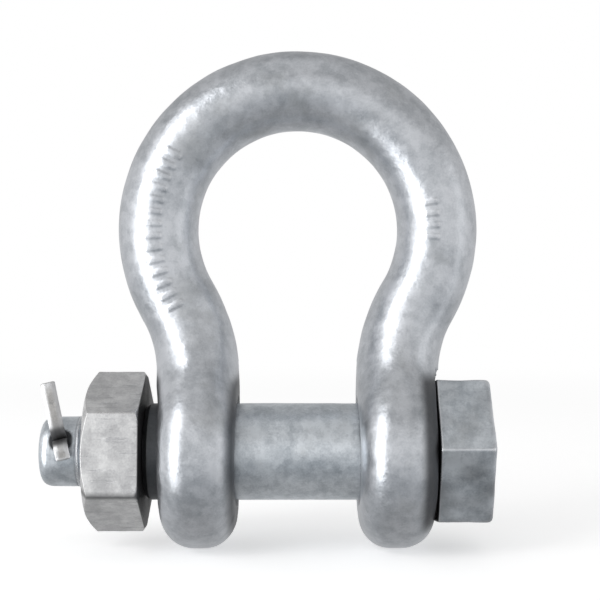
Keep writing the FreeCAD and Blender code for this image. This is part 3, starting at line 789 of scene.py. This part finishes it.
def zinc(name, dark, light, roughness, metallic, mottle=1.0, streaks=None, grain=1.0, lump=1.0,
         worn=(0.80, 0.81, 0.83, 1), stain=(0.36, 0.37, 0.37, 1), stained=0.35):
    """Galvanised or zinc-coated steel: mottled, spangled, grained, bright on its edges, with
    painted shade in its creases and where its piece's mask darkens it.
    """
    s = Shader(name)
    coords = s.add("ShaderNodeTexCoord").outputs["Object"]
    place = s.add("ShaderNodeVectorMath", {0: coords, "Scale": 1 / MM},
                  operation="SCALE").outputs[0]
    wander = s.noise(place, 0.5, 2.0).outputs["Color"]
    bent = s.add("ShaderNodeVectorMath", {0: wander, 1: (2.4, 2.4, 2.4), 2: place},
                 operation="MULTIPLY_ADD").outputs[0]

    cloud = s.span(s.noise(place, 0.20, 4.0, 0.6).outputs[0], 0.34, 0.66)
    blotch = s.span(s.noise(place, 0.62, 3.0, 0.6).outputs[0], 0.36, 0.64)
    cells = s.add("ShaderNodeTexVoronoi", {"Vector": bent, "Scale": 0.42})
    spangle = s.add("ShaderNodeSeparateColor", {0: cells.outputs["Color"]}).outputs[0]
    fine = s.noise(place, 3.2, 4.0, 0.65).outputs[0]
    dull = s.span(s.noise(place, 0.11, 5.0, 0.62).outputs[0], 0.52, 0.70)
    curve = s.add("ShaderNodeAttribute", attribute_name="curvature").outputs["Fac"]
    ragged = s.math("MULTIPLY_ADD", fine, 0.35)
    ragged.node.inputs[2].default_value = -0.17
    edge = s.span(s.math("ADD", curve, ragged), 0.30, 1.10)
    # painted shade in concave creases, such as round the raised marks
    crease_shade = s.span(curve, -0.18, -1.0)

    tone = s.math("MULTIPLY", cloud, 0.45 * mottle)
    tone = s.math("ADD", tone, s.math("MULTIPLY", blotch, 0.30 * mottle))
    tone = s.math("ADD", tone, s.math("MULTIPLY", spangle, 0.22 * mottle))
    tone = s.math("ADD", tone, s.math("MULTIPLY", s.span(fine, 0.3, 0.7), 0.25 * grain))
    rough = s.math("MULTIPLY_ADD", tone, 0.10)
    rough.node.inputs[2].default_value = roughness - 0.05
    height = s.math("MULTIPLY", s.noise(place, 0.5, 3.0, 0.55).outputs[0], 0.10 * lump)
    height = s.math("ADD", height, s.math("MULTIPLY", fine, 0.016 * grain))
    if streaks:
        stretch = s.add("ShaderNodeVectorMath", {0: place, 1: streaks},
                        operation="MULTIPLY").outputs[0]
        line = s.noise(stretch, 1.0, 4.0, 0.7).outputs[0]
        scratch = s.span(line, 0.44, 0.34)
        tone = s.math("SUBTRACT", tone, s.math("MULTIPLY", scratch, 0.55))
        height = s.math("SUBTRACT", height, s.math("MULTIPLY", scratch, 0.014))
        rough = s.math("ADD", rough, s.math("MULTIPLY", scratch, 0.08))
    colour = s.mix(tone, dark, light)
    colour = s.mix(s.math("MULTIPLY", dull, stained), colour, stain)
    rough = s.math("ADD", rough, s.math("MULTIPLY", dull, 0.07))
    # the painted crease shade darkens the colour and roughens it
    colour = s.mix(s.math("MULTIPLY", crease_shade, 0.75), colour, (0.14, 0.14, 0.15, 1))
    rough = s.math("ADD", rough, s.math("MULTIPLY", crease_shade, 0.15))
    colour = s.mix(s.math("MULTIPLY", edge, 0.65), colour, worn)
    rough = s.math("SUBTRACT", rough, s.math("MULTIPLY", edge, 0.09))
    # painted shade: the piece's mask turns the colour near-black where shadow falls in gaps, bores
    # and recesses
    painted_shade = s.add("ShaderNodeAttribute", attribute_name="painted_shade").outputs["Fac"]
    colour = s.mix(painted_shade, colour, (0.022, 0.022, 0.024, 1))
    rough = s.math("ADD", rough, s.math("MULTIPLY", painted_shade, 0.15))
    bump = s.add("ShaderNodeBump", {"Height": height, "Distance": MM, "Strength": 1.0})
    surface = s.add("ShaderNodeBsdfPrincipled", {
        "Base Color": colour, "Roughness": rough, "Normal": bump.outputs[0], "Metallic": metallic,
    })
    out = s.add("ShaderNodeOutputMaterial")
    s.tree.links.new(surface.outputs[0], out.inputs[0])
    return s.material


bow_zinc = zinc("bow_zinc", (0.42, 0.445, 0.475, 1), (0.66, 0.68, 0.715, 1), 0.33, 0.92, mottle=1.1)
bolt_zinc = zinc("bolt_zinc", (0.42, 0.46, 0.50, 1), (0.76, 0.80, 0.84, 1), 0.34, 0.92, mottle=1.15)
nut_zinc = zinc("nut_zinc", (0.48, 0.48, 0.49, 1), (0.80, 0.80, 0.80, 1), 0.36, 0.92,
                streaks=(0.12, 2.2, 2.2), lump=0.4, worn=(0.66, 0.66, 0.66, 1))
wire_zinc = zinc("wire_zinc", (0.30, 0.295, 0.29, 1), (0.50, 0.49, 0.475, 1), 0.42, 0.9,
                 streaks=(1.1, 1.1, 1.1), lump=0.3)


def finish_piece(obj, node, material, painted_shade):
    """Shades a piece and puts it in its CAD node's place."""
    mark_curvature(obj)
    # store the painted shade mask: where the piece is darkened as if shadowed between parts
    store(obj.data, "painted_shade", painted_shade(read_points(obj.data) / MM))
    obj.data.materials.clear()
    obj.data.materials.append(material)
    obj.data.polygons.foreach_set("material_index", [0] * len(obj.data.polygons))
    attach(obj, node)
    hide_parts(node)


finish_piece(make_bow(), "bow", bow_zinc, bow_painted_shade)
finish_piece(make_bolt(), "bolt", bolt_zinc, bolt_painted_shade)
finish_piece(make_nut(), "nut", nut_zinc, nut_painted_shade)
finish_piece(make_cotter_pin(), "cotter_pin", wire_zinc, wire_painted_shade)
NODE_MATERIALS = {"bow": bow_zinc, "bolt": bolt_zinc, "nut": nut_zinc, "cotter_pin": wire_zinc}
for node, material in NODE_MATERIALS.items():
    slots = frame["nodes"][node].data.materials
    slots.clear()
    slots.append(material)


# ---------------------------------------------------------------- stage, light and camera


def make_floor():
    """A pale round floor that the ears stand on, and that fades out into the white around it."""
    rings = np.array([0.1, 60, 120, 200, 300, 420, 560, 700])
    angles = np.arange(96) * TAU / 96
    z = bow_low[2] - 0.02
    rows = [np.stack([r * np.cos(angles), r * np.sin(angles), np.full(96, z)], axis=1)
            for r in rings]
    points, faces = skin(rows, closed=False)
    obj = new_piece("floor", points, faces[:-96])
    s = Shader("pale_floor")
    coords = s.add("ShaderNodeTexCoord").outputs["Object"]
    away = s.add("ShaderNodeVectorMath", {0: coords}, operation="LENGTH").outputs["Value"]
    fade = s.span(away, 0.16, 0.60)
    lit = s.add("ShaderNodeBsdfDiffuse", {"Color": (0.93, 0.93, 0.93, 1)})
    glow = s.add("ShaderNodeEmission", {"Color": (1, 1, 1, 1), "Strength": 0.42})
    paper = s.add("ShaderNodeAddShader", {0: lit.outputs[0], 1: glow.outputs[0]})
    white = s.add("ShaderNodeEmission", {"Color": (1, 1, 1, 1), "Strength": 1.0})
    both = s.add("ShaderNodeMixShader", {0: fade, 1: paper.outputs[0], 2: white.outputs[0]})
    out = s.add("ShaderNodeOutputMaterial")
    s.tree.links.new(both.outputs[0], out.inputs[0])
    obj.data.materials.append(s.material)
    obj.visible_glossy = False
    obj.visible_shadow = False


def grey_ramp(tree, value, stops):
    """A colour ramp over value, from (position, grey or colour) pairs."""
    ramp = tree.nodes.new("ShaderNodeValToRGB")
    tree.links.new(value, ramp.inputs[0])
    elements = ramp.color_ramp.elements
    while len(elements) < len(stops):
        elements.new(0.5)
    for element, (at, _) in zip(elements, stops):
        element.position = at
    for element, (_, grey) in zip(elements, stops):
        element.color = (*(grey if isinstance(grey, tuple) else (grey, grey, grey)), 1)
    return ramp.outputs[0]


def make_world():
    """A plain soft studio: light in front, dimmer overhead and behind, darkest low in front."""
    world = bpy.data.worlds.new("studio")
    bpy.context.scene.world = world
    world.use_nodes = True
    tree = world.node_tree
    tree.nodes.clear()
    coords = tree.nodes.new("ShaderNodeTexCoord").outputs["Generated"]
    split = tree.nodes.new("ShaderNodeSeparateXYZ")
    tree.links.new(coords, split.inputs[0])

    def unit(value):
        node = tree.nodes.new("ShaderNodeMapRange")
        node.inputs["From Min"].default_value = -1
        tree.links.new(value, node.inputs[0])
        return node.outputs[0]

    height, depth = unit(split.outputs[2]), unit(split.outputs[1])
    front = grey_ramp(tree, height, [
        (0.0, 0.34), (0.15, (0.25, 0.265, 0.28)), (0.34, (0.38, 0.40, 0.42)), (0.50, 0.76),
        (0.66, 0.90), (0.78, 0.48), (1.0, 0.42),
    ])
    back = grey_ramp(tree, height, [
        (0.0, 0.34), (0.15, 0.58), (0.50, 0.68), (0.70, 0.56), (1.0, 0.44),
    ])
    mixed = tree.nodes.new("ShaderNodeMix")
    mixed.data_type = "RGBA"
    tree.links.new(depth, mixed.inputs[0])
    tree.links.new(front, mixed.inputs[6])
    tree.links.new(back, mixed.inputs[7])
    around = tree.nodes.new("ShaderNodeBackground")
    tree.links.new(mixed.outputs[2], around.inputs[0])
    seen = tree.nodes.new("ShaderNodeBackground")
    seen.inputs[0].default_value = (1, 1, 1, 1)
    path = tree.nodes.new("ShaderNodeLightPath")
    choose = tree.nodes.new("ShaderNodeMixShader")
    tree.links.new(path.outputs["Is Camera Ray"], choose.inputs[0])
    tree.links.new(around.outputs[0], choose.inputs[1])
    tree.links.new(seen.outputs[0], choose.inputs[2])
    out = tree.nodes.new("ShaderNodeOutputWorld")
    tree.links.new(choose.outputs[0], out.inputs[0])


def softbox(name, azimuth, elevation, distance, width, height, radiance, aim=(0, 0, 0.025)):
    """A rectangular light. Azimuth 0 is the camera's side and goes up to its right."""
    a, e = math.radians(azimuth), math.radians(elevation)
    way = Vector((math.sin(a) * math.cos(e), -math.cos(a) * math.cos(e), math.sin(e)))
    light = bpy.data.lights.new(name, "AREA")
    light.shape = "RECTANGLE"
    light.size, light.size_y = width, height
    light.energy = radiance * math.pi * width * height
    obj = bpy.data.objects.new(name, light)
    obj.location = Vector(aim) + way * distance
    obj.rotation_mode = "QUATERNION"
    obj.rotation_quaternion = (-way).to_track_quat("-Z", "Y")
    obj.visible_camera = False
    bpy.context.scene.collection.objects.link(obj)


make_floor()
make_world()
softbox("key", -49, 8, 0.50, 0.27, 0.76, 2.8)
softbox("fill", 30, -8, 0.50, 0.14, 0.40, 0.2)
softbox("side", 72, 0, 0.50, 0.20, 0.50, 0.4)
softbox("overhead", 0, 78, 0.45, 0.30, 0.30, 0.2)

camera_data = bpy.data.cameras.new("camera")
camera_data.lens = 73
camera_data.sensor_width = 36
camera_data.clip_start = 0.01
camera = bpy.data.objects.new("camera", camera_data)
camera.location = (0.0004, -0.206, 0.0256)
camera.rotation_euler = (math.pi / 2, 0, 0)
bpy.context.scene.collection.objects.link(camera)
bpy.context.scene.camera = camera
bpy.context.scene.view_settings.view_transform = "Standard"
